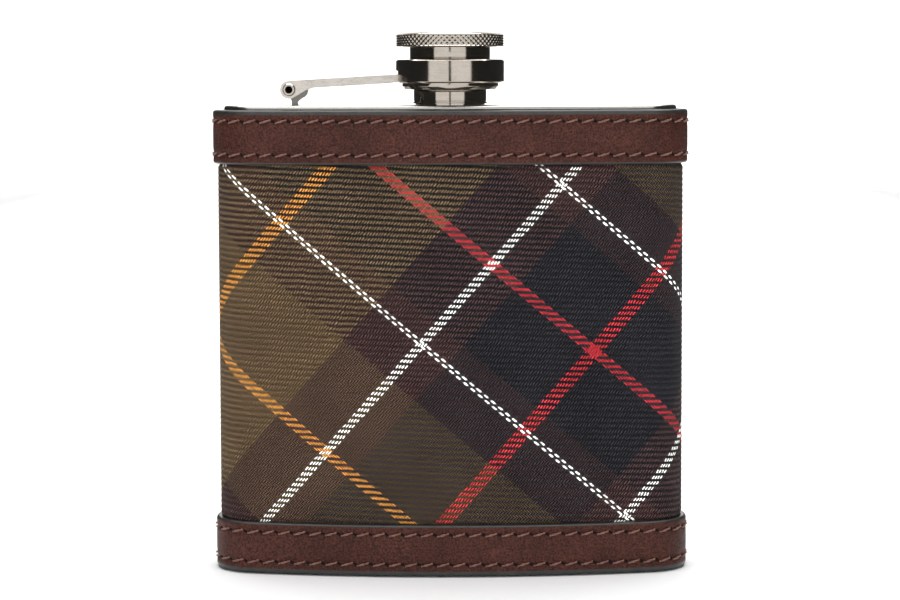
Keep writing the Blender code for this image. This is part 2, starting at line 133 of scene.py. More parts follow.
def mesh_from(name, points, faces, sharp):
    """An object from points in mm. Edges steeper than sharp degrees stay crisp."""
    mesh = bpy.data.meshes.new(name)
    mesh.from_pydata([tuple(p) for p in points * MM], [], [tuple(f) for f in faces])
    mesh.shade_smooth()
    mesh.set_sharp_from_angle(angle=math.radians(sharp))
    made = bpy.data.objects.new(name, mesh)
    bpy.context.scene.collection.objects.link(made)
    return made


def wrapped(name, profile, spacing, relief, sharp):
    """Sweeps a closed profile of (inset, z) round the flask. relief(u, z, inset) raises the face.

    The loop's first and last stations meet at the back seam. The face corners keep (u, z) as the
    "wrap" attribute, in mm.
    """
    loop = stations(spacing)
    u = loop[:, 6]
    ring = loop[:-1]
    grid, heights = [], []
    for inset, z in profile:
        rise = relief(ring[:, 6], z, inset)
        x, y = around(ring, inset - rise)
        grid.append(np.column_stack([x, y, np.full(len(x), z)]))
        heights.append(z)
    rows, columns = len(profile), len(ring)
    points = np.vstack(grid)
    faces, corners = [], []
    for row in range(rows):
        above = (row + 1) % rows
        for side in range(columns):
            after = (side + 1) % columns
            base, over = row * columns, above * columns
            faces.append((base + side, base + after, over + after, over + side))
            low, high = heights[row], heights[above]
            corners += [(u[side], low, 0), (u[side + 1], low, 0)]
            corners += [(u[side + 1], high, 0), (u[side], high, 0)]
    made = mesh_from(name, points, faces, sharp)
    layer = made.data.attributes.new("wrap", "FLOAT_VECTOR", "CORNER")
    layer.data.foreach_set("vector", np.array(corners, dtype=np.float32).ravel())
    return made


def turned(name, profile, segments, centre, closed=True, sharp=35):
    """Turns (radius, z) points about Z. A radius may be a function of the angle in radians."""
    angle = 2 * math.pi * np.arange(segments) / segments
    grid = []
    for radius, z in profile:
        reach = radius(angle) if callable(radius) else np.full(segments, float(radius))
        ring = [centre[0] + reach * np.cos(angle), centre[1] + reach * np.sin(angle)]
        grid.append(np.column_stack([*ring, np.full(segments, centre[2] + z)]))
    faces = []
    count = len(profile)
    for row in range(count if closed else count - 1):
        above = (row + 1) % count
        for side in range(segments):
            after = (side + 1) % segments
            low, high = row * segments, above * segments
            faces.append((low + side, low + after, high + after, high + side))
    if not closed:
        faces.append(list(reversed(range(segments))))
        faces.append(list(range((count - 1) * segments, count * segments)))
    return mesh_from(name, np.vstack(grid), faces, sharp)


SAME_POINT = 1e-6
FLAT_ANGLE = math.radians(4)
EASED_ANGLE = math.radians(30)


def eased_copy(node, name, bevel):
    """A copy of a metal CAD piece, with its edges eased by a bevel in mm."""
    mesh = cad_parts[node].data.copy()
    mesh.name = name
    mesh.materials.clear()
    builder = bmesh.new()
    builder.from_mesh(mesh)
    bmesh.ops.remove_doubles(builder, verts=builder.verts, dist=SAME_POINT)
    bmesh.ops.dissolve_limit(
        builder, angle_limit=FLAT_ANGLE, verts=builder.verts, edges=builder.edges
    )
    builder.to_mesh(mesh)
    builder.free()
    mesh.shade_smooth()
    mesh.set_sharp_from_angle(angle=EASED_ANGLE)
    made = bpy.data.objects.new(name, mesh)
    bpy.context.scene.collection.objects.link(made)
    if bevel:
        eased = made.modifiers.new("eased", "BEVEL")
        eased.width = bevel * MM
        eased.segments = 2
        eased.limit_method = "ANGLE"
        eased.angle_limit = EASED_ANGLE
        eased.harden_normals = True
    return made


def finish_piece(piece, body, slot, materials, *nodes):
    """Gives a piece its materials, parents it to its body's empty, and hides the CAD nodes it
    stands in for.
    """
    if not isinstance(materials, (list, tuple)):
        materials = [materials]
    piece.data.materials.clear()
    for material in materials:
        piece.data.materials.append(material)
    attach(piece, body)
    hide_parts(*nodes)
    return piece


# Materials ------------------------------------------------------------------------------------


class Shader:
    """A material's node tree, with short calls for the nodes it needs."""

    def __init__(self, name):
        self.material = bpy.data.materials.new(name)
        self.material.use_nodes = True
        self.tree = self.material.node_tree
        self.surface = self.tree.nodes["Principled BSDF"]

    def node(self, kind, **settings):
        made = self.tree.nodes.new("ShaderNode" + kind)
        for key, value in settings.items():
            setattr(made, key, value)
        return made

    def join(self, value, socket):
        if isinstance(value, bpy.types.NodeSocket):
            self.tree.links.new(value, socket)
        else:
            socket.default_value = value

    def math(self, operation, *values):
        made = self.node("Math", operation=operation)
        for value, socket in zip(values, made.inputs):
            self.join(value, socket)
        return made.outputs[0]

    def mix(self, factor, one, two, blend="MIX"):
        """Colours, as sockets or (r, g, b)."""
        made = self.node("Mix", data_type="RGBA", blend_type=blend)
        self.join(factor, made.inputs["Factor"])
        for value, name in ((one, "A"), (two, "B")):
            socket = [s for s in made.inputs if s.name == name and s.type == "RGBA"][0]
            if isinstance(value, tuple) and len(value) == 3:
                value = (*value, 1.0)
            self.join(value, socket)
        return [s for s in made.outputs if s.type == "RGBA"][0]

    def span(self, value, low, high, to_low=0.0, to_high=1.0):
        """Maps low to high onto to_low to to_high, and clamps outside."""
        made = self.node("MapRange")
        for item, socket in zip((value, low, high, to_low, to_high), made.inputs):
            self.join(item, socket)
        return made.outputs[0]

    def attribute(self, name):
        made = self.node("Attribute", attribute_name=name)
        return made.outputs["Vector"]

    def split(self, vector):
        made = self.node("SeparateXYZ")
        self.join(vector, made.inputs[0])
        return made.outputs[0], made.outputs[1], made.outputs[2]

    def shaded(self, colour, factor):
        """A colour made lighter or darker by a factor."""
        made = self.node("CombineXYZ")
        for socket in made.inputs:
            self.join(factor, socket)
        return self.mix(1.0, colour, made.outputs[0], "MULTIPLY")

    def place(self):
        """The point on the object, in mm."""
        metres = self.node("TexCoord").outputs["Object"]
        return self.stretch(metres, 1 / MM, 1 / MM, 1 / MM)

    def noise(self, vector, scale, detail=3.0, rough=0.55, distortion=0.0):
        made = self.node("TexNoise")
        self.join(vector, made.inputs["Vector"])
        made.inputs["Scale"].default_value = scale
        made.inputs["Detail"].default_value = detail
        made.inputs["Roughness"].default_value = rough
        made.inputs["Distortion"].default_value = distortion
        return made.outputs[0]

    def stretch(self, vector, x, y, z):
        made = self.node("VectorMath", operation="MULTIPLY")
        self.join(vector, made.inputs[0])
        made.inputs[1].default_value = (x, y, z)
        return made.outputs[0]

    def steps(self, value, stops):
        """A colour for each span of a 0 to 1 value, with hard ends between them."""
        made = self.node("ValToRGB")
        ramp = made.color_ramp
        ramp.interpolation = "CONSTANT"
        while len(ramp.elements) < len(stops):
            ramp.elements.new(0.5)
        for element, (position, colour) in zip(ramp.elements, stops):
            element.position = position
            element.color = (*colour, 1.0)
        self.join(value, made.inputs[0])
        return made.outputs[0]

    def bump(self, height, depth, strength):
        """Depth in mm."""
        made = self.node("Bump")
        made.inputs["Strength"].default_value = strength
        made.inputs["Distance"].default_value = depth * MM
        self.join(height, made.inputs["Height"])
        return made.outputs[0]

    def set(self, **inputs):
        """Sets the surface's inputs, with _ for a space, and gives the material."""
        for name, value in inputs.items():
            socket = self.surface.inputs[name.replace("_", " ")]
            if isinstance(value, tuple) and len(value) == 3 and socket.type == "RGBA":
                value = (*value, 1.0)
            self.join(value, socket)
        return self.material


# The tartan's two thread families: where their white lines cross, in mm from the front's middle
# and from the ground, the way across each family, and the width of one thread in mm
CROSS_U, CROSS_Z = -5.7, 46.3
STEEP_ACROSS = (0.749, -0.663)
SHALLOW_ACROSS = (0.649, 0.760)
STEEP_THREAD = 0.46
SHALLOW_THREAD = 0.36
# A generic sett, the same both ways: threads from the red line's middle to where the
# aubergine ground starts, the white line, the olive ground and the yellow line's middle
AUBERGINE_FROM, WHITE_AT, OLIVE_FROM, YELLOW_AT = 44, 58, 84, 138
RED_HALF, WHITE_HALF, YELLOW_HALF = 3, 2, 3
# How far above the single shallow yarns the steep ones and the doubled white ones stand, in
# parts of a yarn's wave
STEEP_RISE = 0.3
DOUBLE_RISE = 0.7
# How round a yarn is, and how many threads later the shallow yarns come up
YARN_ROUNDNESS = 0.7
SINGLE_LAG, DOUBLE_LAG = 3.0, 3.5

NAVY = (0.0215, 0.0205, 0.0245)
AUBERGINE = (0.055, 0.031, 0.030)
OLIVE = (0.125, 0.083, 0.045)
WHITE = (0.74, 0.72, 0.69)
RED = (0.38, 0.026, 0.034)
YELLOW = (0.56, 0.24, 0.045)
# Colours with less red than this are ground. Then, how much a ground yarn shows through the yarn
# over it, and how much painted shade darkens the shallow family's ground yarns
GROUND_RED = 0.3
SHOW_THROUGH = 0.12
SHALLOW_DIMMING = 0.48


def thread_counts(u, z):
    """How many threads of each family lie between a point and the white crossing."""
    du, dz = u - CROSS_U, z - CROSS_Z
    steep = (STEEP_ACROSS[0] * du + STEEP_ACROSS[1] * dz) / STEEP_THREAD
    shallow = (SHALLOW_ACROSS[0] * du + SHALLOW_ACROSS[1] * dz) / SHALLOW_THREAD
    return steep, shallow


def tartan_material():
    """Wool twill: two thread families, each with the sett's colours, crossing with long floats.

    The shallow family's white line is woven with doubled yarns.
    """
    s = Shader("tartan_twill")
    wrap = s.attribute("wrap")
    u, z, _ = s.split(wrap)
    # The threads wander a little from straight
    drift = s.math("SUBTRACT", s.noise(wrap, 0.35, 2.0), 0.5)
    u = s.math("ADD", u, s.math("MULTIPLY", drift, 0.5))
    z = s.math("ADD", z, s.math("MULTIPLY", drift, -0.4))
    du, dz = s.math("SUBTRACT", u, CROSS_U), s.math("SUBTRACT", z, CROSS_Z)

    def family(across, width):
        """The place across one family in threads, the thread's number, its place in the sett,
        which turns back at the red and yellow lines, and its colour.
        """
        run = s.math(
            "ADD",
            s.math("MULTIPLY", du, across[0] / width),
            s.math("MULTIPLY", dz, across[1] / width),
        )
        index = s.math("FLOOR", run)
        threads = [
            (0, RED),
            (RED_HALF, NAVY),
            (AUBERGINE_FROM, AUBERGINE),
            (WHITE_AT - WHITE_HALF, WHITE),
            (WHITE_AT + WHITE_HALF, AUBERGINE),
            (OLIVE_FROM, OLIVE),
            (YELLOW_AT - YELLOW_HALF, YELLOW),
        ]
        stops = [(count / YELLOW_AT, colour) for count, colour in threads]
        place = s.math("PINGPONG", s.math("ADD", index, 0.5 - WHITE_AT), float(YELLOW_AT))
        return run, index, place, s.steps(s.math("DIVIDE", place, float(YELLOW_AT)), stops)

    def yarn(run, index, other_run, lag, rise, yarns=1.0):
        """How proud one family stands, and its painted light: shade between and under the yarns
        and a highlight on their crests.
        """
        across = s.math("DIVIDE", s.math("SUBTRACT", run, index), yarns)
        across = s.math("MULTIPLY_ADD", across, 2.0, -1.0)
        round_top = s.math("SUBTRACT", 1.0, s.math("MULTIPLY", across, across))
        phase = s.math("SUBTRACT", s.math("SUBTRACT", other_run, index), lag)
        wave = s.math("COSINE", s.math("MULTIPLY", phase, math.pi / 2))
        proud = s.math("ADD", s.math("MULTIPLY_ADD", round_top, YARN_ROUNDNESS, wave), rise)
        # lit is painted light in the colour: near black in the gaps between yarns and where a yarn
        # dips under, a painted highlight along each crest
        lit = s.math(
            "MULTIPLY",
            s.span(round_top, 0.58, 0.98, 0.0, 2.9),
            s.span(wave, -0.45, 0.35, 0.15, 1.0),
        )
        return proud, lit

    def pick(mask, one, two):
        """One where the mask is 0, and two where it is 1."""
        return s.math("MULTIPLY_ADD", s.math("SUBTRACT", two, one), mask, one)

    steep_run, steep_index, _, steep_colour = family(STEEP_ACROSS, STEEP_THREAD)
    shallow_run, shallow_index, shallow_place, shallow_colour = family(
        SHALLOW_ACROSS, SHALLOW_THREAD
    )
    pair = s.math("MULTIPLY", s.math("FLOOR", s.math("MULTIPLY", shallow_index, 0.5)), 2.0)
    from_white = s.math("ABSOLUTE", s.math("SUBTRACT", shallow_place, float(WHITE_AT)))
    doubled = s.math("LESS_THAN", from_white, float(WHITE_HALF))
    steep, steep_lit = yarn(steep_run, steep_index, shallow_run, 0.0, STEEP_RISE)
    single, single_lit = yarn(shallow_run, shallow_index, steep_run, SINGLE_LAG, 0.0)
    double, double_lit = yarn(shallow_run, pair, steep_run, DOUBLE_LAG, DOUBLE_RISE, yarns=2.0)
    shallow = pick(doubled, single, double)
    shallow_lit = pick(doubled, single_lit, double_lit)
    steep_on_top = s.math("GREATER_THAN", steep, shallow)
    top = s.mix(steep_on_top, shallow_colour, steep_colour)
    under = s.mix(steep_on_top, steep_colour, shallow_colour)
    dull = s.math("LESS_THAN", s.split(under)[0], GROUND_RED)
    colour = s.mix(s.math("MULTIPLY", dull, SHOW_THROUGH), top, under)
    # Painted shade: the shallow family's ground yarns are darkened by SHALLOW_DIMMING
    plain = s.math("LESS_THAN", s.split(shallow_colour)[0], GROUND_RED)
    dimmed = s.math("MULTIPLY_ADD", plain, -SHALLOW_DIMMING, 1.0)
    shallow_lit = s.math("MULTIPLY", shallow_lit, dimmed)
    # The top yarn's painted light, with fibre and tone noise, darkens and lightens the colour
    shade = pick(steep_on_top, shallow_lit, steep_lit)
    height = s.math("MAXIMUM", steep, shallow)
    fibre = s.span(s.noise(wrap, 2.2, 4.0, 0.8), 0.37, 0.63, 0.25, 1.75)
    broad = s.span(s.noise(wrap, 0.09, 3.0), 0.3, 0.7, 0.84, 1.16)
    shade = s.math("MULTIPLY", s.math("MULTIPLY", shade, fibre), broad)
    colour = s.shaded(colour, shade)
    fuzz = s.noise(wrap, 11.0, 2.0, 0.7)
    raised = s.math("ADD", height, s.math("MULTIPLY", fuzz, 0.5))
    return s.set(
        Base_Color=colour,
        Roughness=0.86,
        Normal=s.bump(raised, 0.1, 0.9),
        Sheen_Weight=0.04,
        Sheen_Roughness=0.45,
        Specular_IOR_Level=0.08,
    )


def leather_material():
    """Waxed brown leather, with grain, creases darkened by painted shade, and pale scuffs."""
    s = Shader("waxed_leather")
    wrap = s.attribute("wrap")
    place = s.place()
    broad = s.span(s.noise(place, 0.12, 4.0), 0.3, 0.7)
    dark, light = (0.050, 0.0142, 0.0088), (0.078, 0.0235, 0.0158)
    crease_shade, scuffed = (0.030, 0.010, 0.008), (0.16, 0.075, 0.06)
    colour = s.mix(broad, dark, light)
    creases = s.noise(s.stretch(wrap, 0.55, 2.2, 1.0), 1.0, 6.0, 0.62, 0.6)
    # Darker along the creases: painted shade
    colour = s.mix(s.span(creases, 0.55, 0.75), colour, crease_shade)
    scratch = s.noise(s.stretch(wrap, 0.25, 5.0, 1.0), 1.3, 5.0, 0.8, 1.2)
    marks = s.span(scratch, 0.66, 0.76)
    colour = s.mix(s.math("MULTIPLY", marks, 0.35), colour, scuffed)
    cells = s.node("TexVoronoi", feature="DISTANCE_TO_EDGE")
    s.join(s.stretch(wrap, 1.0, 1.5, 1.0), cells.inputs["Vector"])
    cells.inputs["Scale"].default_value = 2.4
    grain = s.span(cells.outputs["Distance"], 0.0, 0.12)
    fine = s.noise(place, 2.6, 5.0, 0.75)
    speck = s.span(fine, 0.38, 0.62, 0.25, 1.8)
    colour = s.shaded(colour, speck)
    height = s.math("ADD", s.math("MULTIPLY", grain, 0.35), s.math("MULTIPLY", creases, 0.9))
    height = s.math("ADD", height, s.math("MULTIPLY", fine, 0.35))
    return s.set(
        Base_Color=colour,
        Roughness=s.span(creases, 0.3, 0.7, 0.40, 0.58),
        Normal=s.bump(height, 0.08, 0.9),
        Specular_IOR_Level=0.2,
    )


def edge_material():
    """The painted edge of the cut leather."""
    s = Shader("painted_edge")
    place = s.place()
    cloudy = s.span(s.noise(place, 0.8, 4.0), 0.3, 0.7)
    colour = s.mix(cloudy, (0.016, 0.017, 0.016), (0.036, 0.038, 0.035))
    layers = s.noise(s.stretch(place, 0.2, 0.2, 4.0), 1.5, 3.0)
    return s.set(
        Base_Color=colour,
        Roughness=s.span(cloudy, 0.0, 1.0, 0.28, 0.42),
        Normal=s.bump(layers, 0.05, 0.6),
        Specular_IOR_Level=0.5,
    )


def hole_shade_material():
    """Painted shade: the dark inside a stitch hole and in the rivet's bore."""
    s = Shader("painted_hole_shade")
    place = s.place()
    colour = s.mix(s.noise(place, 2.0), (0.008, 0.004, 0.004), (0.02, 0.009, 0.007))
    return s.set(Base_Color=colour, Roughness=0.8, Specular_IOR_Level=0.2)


def thread_material():
    """Waxed sewing thread, with pale patches that are painted highlights on its plies."""
    s = Shader("waxed_thread")
    place = s.place()
    ply = s.noise(place, 4.0, 4.0, 0.7)
    # Random patches between dark thread and a pale colour: painted highlight
    colour = s.mix(s.span(ply, 0.3, 0.7), (0.075, 0.026, 0.020), (0.34, 0.18, 0.14))
    return s.set(
        Base_Color=colour,
        Roughness=0.6,
        Normal=s.bump(s.noise(place, 9.0, 2.0), 0.03, 0.6),
        Specular_IOR_Level=0.3,
        Sheen_Weight=0.15,
    )


def steel_material(name, colour, rough, lines, depth):
    """Steel with fine marks, depth mm deep. lines stretches them along x, y and z."""
    s = Shader(name)
    place = s.place()
    marks = s.noise(s.stretch(place, *lines), 1.0, 4.0, 0.7)
    smears = s.noise(place, 0.25, 4.0, 0.6)
    darker = tuple(0.86 * part for part in colour)
    tone = s.mix(s.span(s.math("ADD", marks, smears), 0.8, 1.2), darker, colour)
    low, high = rough
    spread = s.math("ADD", s.math("MULTIPLY", smears, 0.6), s.math("MULTIPLY", marks, 0.4))
    return s.set(
        Base_Color=tone,
        Metallic=1.0,
        Roughness=s.span(spread, 0.35, 0.65, low, high),
        Normal=s.bump(marks, depth, 0.5),
    )


def board_material():
    """The felted backing inside the sleeve."""
    s = Shader("bonded_board")
    place = s.place()
    felt = s.noise(place, 3.0, 5.0, 0.7)
    colour = s.mix(s.span(felt, 0.3, 0.7), (0.035, 0.026, 0.02), (0.075, 0.055, 0.042))
    return s.set(Base_Color=colour, Roughness=0.85, Normal=s.bump(felt, 0.06, 0.8))


def seal_material():
    """The cap's soft white disc."""
    s = Shader("seal_rubber")
    place = s.place()
    cloudy = s.noise(place, 1.2, 4.0)
    colour = s.mix(s.span(cloudy, 0.3, 0.7), (0.62, 0.60, 0.56), (0.76, 0.74, 0.70))
    return s.set(Base_Color=colour, Roughness=0.5, Normal=s.bump(cloudy, 0.04, 0.5))


TARTAN = tartan_material()
LEATHER = leather_material()
EDGE = edge_material()
HOLE_SHADE = hole_shade_material()
THREAD = thread_material()
POLISHED = steel_material(
    "polished_steel", (0.44, 0.395, 0.345), (0.05, 0.12), lines=(0.3, 0.3, 6.0), depth=0.008
)
SATIN = steel_material(
    "satin_steel", (0.60, 0.56, 0.515), (0.22, 0.34), lines=(0.25, 3.0, 3.0), depth=0.015
)
PLATE = steel_material(
    "plate_steel", (0.47, 0.45, 0.42), (0.16, 0.28), lines=(0.2, 4.0, 1.0), depth=0.012
)
# Darkened steel for the bracket: a painted dark reflection
BRACKET_SHADE_STEEL = steel_material(
    "bracket_dark_reflection_steel", (0.20, 0.19, 0.175), (0.2, 0.34), lines=(2.0, 2.0, 0.4), depth=0.015
)
KNURLED = steel_material(
    "knurled_steel", (0.85, 0.79, 0.73), (0.04, 0.1), lines=(0.3, 0.3, 6.0), depth=0.008
)
BODY = steel_material(
    "body_steel", (0.60, 0.59, 0.57), (0.28, 0.42), lines=(2.5, 2.5, 0.2), depth=0.015
)
BOARD = board_material()
SEAL = seal_material()


# Camera, lights and floor ---------------------------------------------------------------------


LENS = 97.9
SENSOR = 36.0
SHIFT_Y = -0.05
CAMERA_PLACE = (0.0019, -0.4894, 0.1)
# Radians: down from level, to the left, and anticlockwise
PITCH, YAW, ROLL = 0.0754, 0.0041, -0.0028


def make_camera():
    """The photograph's view: from just above the top plate's height, looking slightly down."""
    data = bpy.data.cameras.new("camera")
    data.lens = LENS
    data.sensor_width = SENSOR
    data.shift_y = SHIFT_Y
    camera = bpy.data.objects.new("camera", data)
    bpy.context.scene.collection.objects.link(camera)
    side = Vector((math.cos(YAW), math.sin(YAW), 0))
    level = Vector((-math.sin(YAW), math.cos(YAW), 0))
    up = Vector((0, 0, 1))
    ahead = level * math.cos(PITCH) - up * math.sin(PITCH)
    top = up * math.cos(PITCH) + level * math.sin(PITCH)
    right = side * math.cos(ROLL) + top * math.sin(ROLL)
    head = top * math.cos(ROLL) - side * math.sin(ROLL)
    turn = Matrix((right, head, -ahead)).transposed()
    camera.matrix_world = Matrix.Translation(CAMERA_PLACE) @ turn.to_4x4()
    bpy.context.scene.camera = camera


def dark_card(name, corners):
    """A black card that only reflections and light see."""
    mesh = bpy.data.meshes.new(name)
    mesh.from_pydata(corners, [], [tuple(range(len(corners)))])
    made = bpy.data.objects.new(name, mesh)
    bpy.context.scene.collection.objects.link(made)
    s = Shader(name)
    mesh.materials.append(s.set(Base_Color=(0.012, 0.012, 0.012), Roughness=0.9))
    made.visible_camera = False


def make_backdrop():
    """A floor that curves up into a back wall."""
    half, bend, wall, near, high, steps = 4.0, 0.9, 1.6, -4.0, 4.0, 12
    line = [(near, 0.0)]
    for step in range(steps + 1):
        angle = math.pi / 2 * step / steps
        line.append((wall + bend * math.sin(angle), bend - bend * math.cos(angle)))
    line.append((wall + bend, high))
    points, faces = [], []
    for y, z in line:
        points += [(-half, y, z), (half, y, z)]
    for row in range(len(line) - 1):
        faces.append((2 * row, 2 * row + 1, 2 * row + 3, 2 * row + 2))
    mesh = bpy.data.meshes.new("backdrop")
    mesh.from_pydata(points, [], faces)
    mesh.shade_smooth()
    made = bpy.data.objects.new("backdrop", mesh)
    bpy.context.scene.collection.objects.link(made)
    s = Shader("backdrop")
    pale = (0.93, 0.93, 0.93)
    mesh.materials.append(s.set(Base_Color=pale, Roughness=0.9, Specular_IOR_Level=0.1))


def softbox(name, place, aim, width, height, power):
    data = bpy.data.lights.new(name, "AREA")
    data.shape = "RECTANGLE"
    data.size, data.size_y = width, height
    data.energy = power
    light = bpy.data.objects.new(name, data)
    light.location = place
    light.rotation_euler = (Vector(aim) - Vector(place)).to_track_quat("-Z", "Y").to_euler()
    bpy.context.scene.collection.objects.link(light)


def make_studio():
    """A softbox in front with a dark gap down its middle, dark cards at the sides, and a light
    overhead and on the wall behind. The metal reflects all of them.
    """
    make_backdrop()
    near, far, high = -0.33, 1.55, 0.55
    for side in (-1, 1):
        x = 0.34 * side
        corners = [(x, near, 0.0), (x, far, 0.0), (x, far, high), (x, near, high)]
        dark_card(f"dark_card_{side + 1}", corners)
    x, y, high = 0.05, -1.2, 0.9
    dark_card("panel_gap", [(-x, y, 0.0), (x, y, 0.0), (x, y, high), (-x, y, high)])
    softbox("front_softbox", (0, -1.3, 0.45), (0, 0, 0.1), width=2.7, height=1.1, power=5.5)
    softbox("top_softbox", (0, 0.1, 1.3), (0, 0, 0), width=1.6, height=1.2, power=20.0)
    softbox("back_wall_light", (0, 0.9, 1.7), (0, 2.4, 0.4), width=3.4, height=0.8, power=48.0)
    world = bpy.data.worlds.new("studio")
    world.use_nodes = True
    sky = world.node_tree.nodes["Background"]
    sky.inputs["Color"].default_value = (1, 1, 1, 1)
    sky.inputs["Strength"].default_value = 0.8
    bpy.context.scene.world = world
    bpy.context.scene.view_settings.view_transform = "Standard"


make_camera()
make_studio()


# Sleeve ---------------------------------------------------------------------------------------

# The back seam's distance along the cloth, and the cloth's low relief, in mm
SEAM_U = stations(1.0)[-1, 6]
RIB_HEIGHT = 0.045
LAP_HEIGHT, LAP_MIDDLE, LAP_HALF = 0.22, 3.0, 3.4


def cloth_relief(u, z, inset):
    """The twill's ribs, and the lap of the cloth's seam down the back."""
    if inset > FABRIC_FACE + 0.01:
        return np.zeros_like(u)
    steep, shallow = thread_counts(u, z)
    ribs = RIB_HEIGHT * np.sin((steep - shallow) * math.pi / 2)
    from_lap = np.abs(SEAM_U - u - LAP_MIDDLE) / LAP_HALF
    return ribs + LAP_HEIGHT * np.clip(1 - from_lap, 0, 1) ** 0.5


def make_fabric():
    """The tartan, flat between the bands and tucked under both."""
    tuck = LAP - 0.3
    low, high = BOTTOM_BAND_TOP, TOP_BAND_FOOT
    margin, row_height = 0.7, 0.25
    tall = high - low - 2 * margin
    rows = round(tall / row_height)
    face = [(FABRIC_FACE, low + margin + tall * k / rows) for k in range(rows + 1)]
    profile = [
        (FABRIC_BACK, low - tuck),
        (FABRIC_TUCK, low - tuck),
        (FABRIC_TUCK, low - 0.1),
        (FABRIC_TUCK - 0.12, low + 0.25),
        *face,
        (FABRIC_TUCK - 0.12, high - 0.25),
        (FABRIC_TUCK, high + 0.1),
        (FABRIC_TUCK, high + tuck),
        (FABRIC_BACK, high + tuck),
    ]
    cloth = wrapped("tartan_cloth", profile, 1.15, cloth_relief, sharp=80)
    finish_piece(cloth, "flask", "tartan_cloth", TARTAN, "tartan_wrap")


def stitch_places():
    """The middles of the stitches round a band, and the pitch that fits a whole number of them."""
    count = 2 * round(SEAM_U / STITCH_PITCH)
    pitch = 2 * SEAM_U / count
    return [-SEAM_U + pitch * (k + 0.5) for k in range(count)], pitch


HOLE_SLANT = math.radians(-30)
HOLE_LONG, HOLE_WIDE, HOLE_DEPTH = 0.62, 0.27, 0.42
LINE_DEPTH, LINE_HALF = 0.14, 0.5
PUFF_HEIGHT, PUFF_OFF, PUFF_HALF = 0.05, 0.8, 0.4


def hole_reach(u, drop):
    """How far a point is from its nearest stitch hole: mm along the row, and the square of the
    distance from the hole's middle, which is 1 at its edge. drop is its height above the row.
    """
    _, pitch = stitch_places()
    off = (u + SEAM_U + pitch / 2) % pitch - pitch / 2
    along = off * math.cos(HOLE_SLANT) + drop * math.sin(HOLE_SLANT)
    across = -off * math.sin(HOLE_SLANT) + drop * math.cos(HOLE_SLANT)
    return off, (along / HOLE_LONG) ** 2 + (across / HOLE_WIDE) ** 2


def row_relief(u, z, row_z):
    """One row of stitching: a pressed line, a slanted hole between each two stitches, and leather
    that rises beside the stitches.
    """
    _, pitch = stitch_places()
    line = LINE_DEPTH * math.exp(-(((z - row_z) / LINE_HALF) ** 2))
    off, reach = hole_reach(u, z - row_z)
    beside = math.exp(-(((abs(z - row_z) - PUFF_OFF) / PUFF_HALF) ** 2))
    puff = PUFF_HEIGHT * beside * np.cos(2 * math.pi * off / pitch)
    return -line - HOLE_DEPTH * np.exp(-reach) - puff


def band_face(edge, lap_edge, rows, up):
    """A band's profile from edge to edge, with closer rows at the stitching."""
    radius = 0.6
    arc = [math.radians(angle) for angle in (0, 22, 45, 68, 90)]
    start, finish = [], []
    for angle in arc:
        out, side = radius * (1 - math.sin(angle)), radius * (1 - math.cos(angle))
        start.append((out, edge + up * side))
        finish.append((side, lap_edge - up * out))
    z, end = edge + up * radius, lap_edge - up * radius
    face = []
    while True:
        close = min(abs(z - row) for row in rows)
        z += up * (0.13 if close < 0.8 else 0.3)
        if up * (z - end) > -0.08:
            break
        face.append((0.0, z))
    return [*start, *face, *finish]


SEAM_DEPTH, SEAM_HALF = 0.4, 0.22
BAND_SPACING = 0.3


def make_band(name, edge, lap_edge, node):
    """A leather band, from its outer edge to the edge that laps over the cloth."""
    up = 1 if lap_edge > edge else -1
    rows = (edge + up * OUTER_ROW, lap_edge - up * LAP_ROW)
    lap = lap_edge - up * LAP
    profile = [
        *band_face(edge, lap_edge, rows, up),
        (LEATHER_LAP, lap_edge),
        (LEATHER_LAP, lap),
        (LEATHER_BACK, lap),
        (LEATHER_BACK, edge),
    ]
    if up < 0:
        profile.reverse()

    def relief(u, z, inset):
        if inset > 0.001:
            return np.zeros_like(u)
        seam = -SEAM_DEPTH * np.exp(-(((SEAM_U - np.abs(u)) / SEAM_HALF) ** 2))
        return sum(row_relief(u, z, row) for row in rows) + seam

    band = wrapped(name, profile, BAND_SPACING, relief, sharp=60)
    finish_piece(band, "flask", "brown_leather", [LEATHER, EDGE, HOLE_SHADE], node)
    loop = stations(BAND_SPACING)
    columns = len(loop) - 1
    middle = (loop[:-1, 6] + loop[1:, 6]) / 2
    for index, polygon in enumerate(band.data.polygons):
        row, column = divmod(index, columns)
        after = (row + 1) % len(profile)
        inset = (profile[row][0] + profile[after][0]) / 2
        height = (profile[row][1] + profile[after][1]) / 2
        painted = abs(height - edge) < 0.85 or abs(height - lap_edge) < 0.4
        if inset > 0.04 or painted:
            polygon.material_index = 1
            continue
        # Faces inside the stitch holes get the dark hole material: painted shade
        for row_z in rows:
            near = abs(height - row_z) <= 0.6
            if near and hole_reach(middle[column], height - row_z)[1] < 1:
                polygon.material_index = 2


# A stitch, in mm: the gap to the hole's middle, how far it rises, dives and sits in the leather,
# how much its ends slant, its thread's radius, and its two plies
STITCH_GAP = 0.3
STITCH_RISE, STITCH_DIVE, STITCH_SUNK = 0.16, 0.5, 0.08
STITCH_SLANT = 0.36
THREAD_RADIUS = 0.18
PLY_SWELL, PLY_TWIST = 0.36, 3.2


